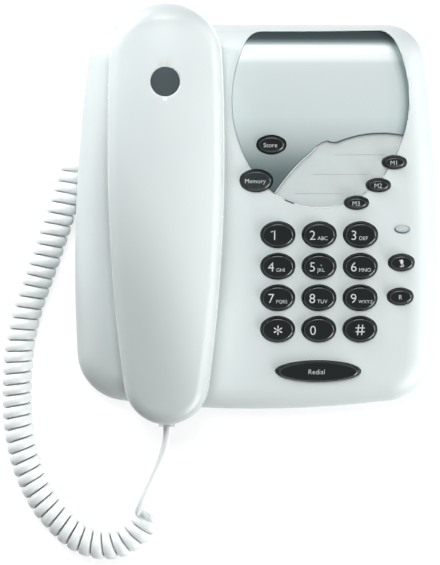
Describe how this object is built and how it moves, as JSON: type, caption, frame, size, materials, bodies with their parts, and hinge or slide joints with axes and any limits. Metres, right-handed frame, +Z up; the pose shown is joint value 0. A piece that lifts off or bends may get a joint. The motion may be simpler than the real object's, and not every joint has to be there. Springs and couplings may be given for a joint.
{
  "type": "corded desk telephone",
  "caption": "Push-button desk telephone: sloping base with key panel and index card, handset in its cradle on the left, coiled cord round the side.",
  "frame": {"origin": "on the desk under the middle of the telephone without its cord", "axes": "+X to the user's right, +Y to the back, +Z up; the base's face is tilted 7 degrees about X, higher at the back"},
  "size_m": [0.2074, 0.2627, 0.0677],
  "materials": {
    "housing": "pale grey-white fine satin",
    "handset": "pale grey-white smooth satin",
    "fascia": "silver-grey satin panel",
    "cover": "clear plastic",
    "card": "paper card with ruled dotted lines",
    "dark_key": "black moulded key",
    "grey_key": "dark grey moulded key",
    "lamp": "frosted lens",
    "led": "light emitting diode",
    "board": "green circuit board",
    "mat": "silicone",
    "screw": "zinc plated",
    "spring": "spring steel",
    "sounder": "disc sounder",
    "black_plastic": "black moulding",
    "foot": "soft foot",
    "foam": "foam ring",
    "capsule": "pressed can",
    "weight": "plain bar",
    "wire": "flat flexible lead",
    "cord": "pale soft sheath",
    "plug": "clear modular plug",
    "badge": "plain dark grey inlay"
  },
  "bodies": {
    "base": {"base_lower_housing": "housing", "base_upper_housing": "housing", "fascia_panel": "fascia", "index_card": "card", "lamp_lens": "lamp", "lamp_led": "led", "main_board": "board", "keypad_mat": "mat", "board_screws": "screw", "ringer_sounder": "sounder", "ringer_switch_body": "black_plastic", "line_socket": "black_plastic", "handset_jack": "black_plastic", "hook_spring": "spring", "hook_switch": "black_plastic", "rubber_feet": "foot", "housing_screws": "screw", "base_wires": "wire", "curly_cord": "cord", "cord_base_lead": "cord", "cord_handset_lead": "cord", "cord_base_plug": "plug"},
    "handset": {"handset_back_shell": "handset", "handset_front_shell": "handset", "handset_badge": "badge", "receiver_capsule": "capsule", "receiver_gasket": "foam", "microphone_capsule": "capsule", "microphone_boot": "foam", "handset_weight": "weight", "handset_socket": "black_plastic", "handset_screws": "screw", "handset_wires": "wire", "cord_handset_plug": "plug"},
    "hook_plunger": {"hook_plunger": "housing"},
    "index_cover": {"index_cover": "cover"},
    "ringer_knob": {"ringer_knob": "black_plastic"},
    "key_1": {"key_1": "dark_key"},
    "key_2": {"key_2": "dark_key"},
    "key_3": {"key_3": "dark_key"},
    "key_4": {"key_4": "dark_key"},
    "key_5": {"key_5": "dark_key"},
    "key_6": {"key_6": "dark_key"},
    "key_7": {"key_7": "dark_key"},
    "key_8": {"key_8": "dark_key"},
    "key_9": {"key_9": "dark_key"},
    "key_star": {"key_star": "dark_key"},
    "key_0": {"key_0": "dark_key"},
    "key_hash": {"key_hash": "dark_key"},
    "key_redial": {"key_redial": "dark_key"},
    "key_mute": {"key_mute": "dark_key"},
    "key_recall": {"key_recall": "dark_key"},
    "key_store": {"key_store": "dark_key"},
    "key_memory": {"key_memory": "grey_key"},
    "key_m1": {"key_m1": "dark_key"},
    "key_m2": {"key_m2": "dark_key"},
    "key_m3": {"key_m3": "dark_key"}
  },
  "joints": [
    {"name": "handset_lift", "type": "slide", "parent": "base", "child": "handset", "axis": [0, -0.1219, 0.9925], "range_m": [0, 0.08], "deforming": ["cord_handset_lead"]},
    {"name": "hook_rise", "type": "slide", "parent": "base", "child": "hook_plunger", "axis": [0, -0.1219, 0.9925], "range_m": [0, 0.0045], "deforming": ["hook_spring"]},
    {"name": "index_cover_lift", "type": "slide", "parent": "base", "child": "index_cover", "axis": [0, -0.1219, 0.9925], "range_m": [0, 0.015]},
    {"name": "ringer_slide", "type": "slide", "parent": "base", "child": "ringer_knob", "axis": [1, 0, 0], "range_m": [0, 0.006]},
    {"name": "press_1", "type": "slide", "parent": "base", "child": "key_1", "axis": [0, 0.1219, -0.9925], "range_m": [0, 0.0012], "stiffness_N_per_m": 150, "springref_m": -0.001, "deforming": ["keypad_mat"]},
    {"name": "press_2", "type": "slide", "parent": "base", "child": "key_2", "axis": [0, 0.1219, -0.9925], "range_m": [0, 0.0012], "stiffness_N_per_m": 150, "springref_m": -0.001, "deforming": ["keypad_mat"]},
    {"name": "press_3", "type": "slide", "parent": "base", "child": "key_3", "axis": [0, 0.1219, -0.9925], "range_m": [0, 0.0012], "stiffness_N_per_m": 150, "springref_m": -0.001, "deforming": ["keypad_mat"]},
    {"name": "press_4", "type": "slide", "parent": "base", "child": "key_4", "axis": [0, 0.1219, -0.9925], "range_m": [0, 0.0012], "stiffness_N_per_m": 150, "springref_m": -0.001, "deforming": ["keypad_mat"]},
    {"name": "press_5", "type": "slide", "parent": "base", "child": "key_5", "axis": [0, 0.1219, -0.9925], "range_m": [0, 0.0012], "stiffness_N_per_m": 150, "springref_m": -0.001, "deforming": ["keypad_mat"]},
    {"name": "press_6", "type": "slide", "parent": "base", "child": "key_6", "axis": [0, 0.1219, -0.9925], "range_m": [0, 0.0012], "stiffness_N_per_m": 150, "springref_m": -0.001, "deforming": ["keypad_mat"]},
    {"name": "press_7", "type": "slide", "parent": "base", "child": "key_7", "axis": [0, 0.1219, -0.9925], "range_m": [0, 0.0012], "stiffness_N_per_m": 150, "springref_m": -0.001, "deforming": ["keypad_mat"]},
    {"name": "press_8", "type": "slide", "parent": "base", "child": "key_8", "axis": [0, 0.1219, -0.9925], "range_m": [0, 0.0012], "stiffness_N_per_m": 150, "springref_m": -0.001, "deforming": ["keypad_mat"]},
    {"name": "press_9", "type": "slide", "parent": "base", "child": "key_9", "axis": [0, 0.1219, -0.9925], "range_m": [0, 0.0012], "stiffness_N_per_m": 150, "springref_m": -0.001, "deforming": ["keypad_mat"]},
    {"name": "press_star", "type": "slide", "parent": "base", "child": "key_star", "axis": [0, 0.1219, -0.9925], "range_m": [0, 0.0012], "stiffness_N_per_m": 150, "springref_m": -0.001, "deforming": ["keypad_mat"]},
    {"name": "press_0", "type": "slide", "parent": "base", "child": "key_0", "axis": [0, 0.1219, -0.9925], "range_m": [0, 0.0012], "stiffness_N_per_m": 150, "springref_m": -0.001, "deforming": ["keypad_mat"]},
    {"name": "press_hash", "type": "slide", "parent": "base", "child": "key_hash", "axis": [0, 0.1219, -0.9925], "range_m": [0, 0.0012], "stiffness_N_per_m": 150, "springref_m": -0.001, "deforming": ["keypad_mat"]},
    {"name": "press_redial", "type": "slide", "parent": "base", "child": "key_redial", "axis": [0, 0.1219, -0.9925], "range_m": [0, 0.0012], "stiffness_N_per_m": 150, "springref_m": -0.001, "deforming": ["keypad_mat"]},
    {"name": "press_mute", "type": "slide", "parent": "base", "child": "key_mute", "axis": [0, 0.1219, -0.9925], "range_m": [0, 0.0012], "stiffness_N_per_m": 150, "springref_m": -0.001, "deforming": ["keypad_mat"]},
    {"name": "press_recall", "type": "slide", "parent": "base", "child": "key_recall", "axis": [0, 0.1219, -0.9925], "range_m": [0, 0.0012], "stiffness_N_per_m": 150, "springref_m": -0.001, "deforming": ["keypad_mat"]},
    {"name": "press_store", "type": "slide", "parent": "base", "child": "key_store", "axis": [0, 0.1219, -0.9925], "range_m": [0, 0.0012], "stiffness_N_per_m": 150, "springref_m": -0.001, "deforming": ["keypad_mat"]},
    {"name": "press_memory", "type": "slide", "parent": "base", "child": "key_memory", "axis": [0, 0.1219, -0.9925], "range_m": [0, 0.0012], "stiffness_N_per_m": 150, "springref_m": -0.001, "deforming": ["keypad_mat"]},
    {"name": "press_m1", "type": "slide", "parent": "base", "child": "key_m1", "axis": [0, 0.1219, -0.9925], "range_m": [0, 0.0012], "stiffness_N_per_m": 150, "springref_m": -0.001, "deforming": ["keypad_mat"]},
    {"name": "press_m2", "type": "slide", "parent": "base", "child": "key_m2", "axis": [0, 0.1219, -0.9925], "range_m": [0, 0.0012], "stiffness_N_per_m": 150, "springref_m": -0.001, "deforming": ["keypad_mat"]},
    {"name": "press_m3", "type": "slide", "parent": "base", "child": "key_m3", "axis": [0, 0.1219, -0.9925], "range_m": [0, 0.0012], "stiffness_N_per_m": 150, "springref_m": -0.001, "deforming": ["keypad_mat"]}
  ],
  "couplings": [
    {"joint": "hook_rise", "follows": "handset_lift", "ratio": 0.05625}
  ]
}
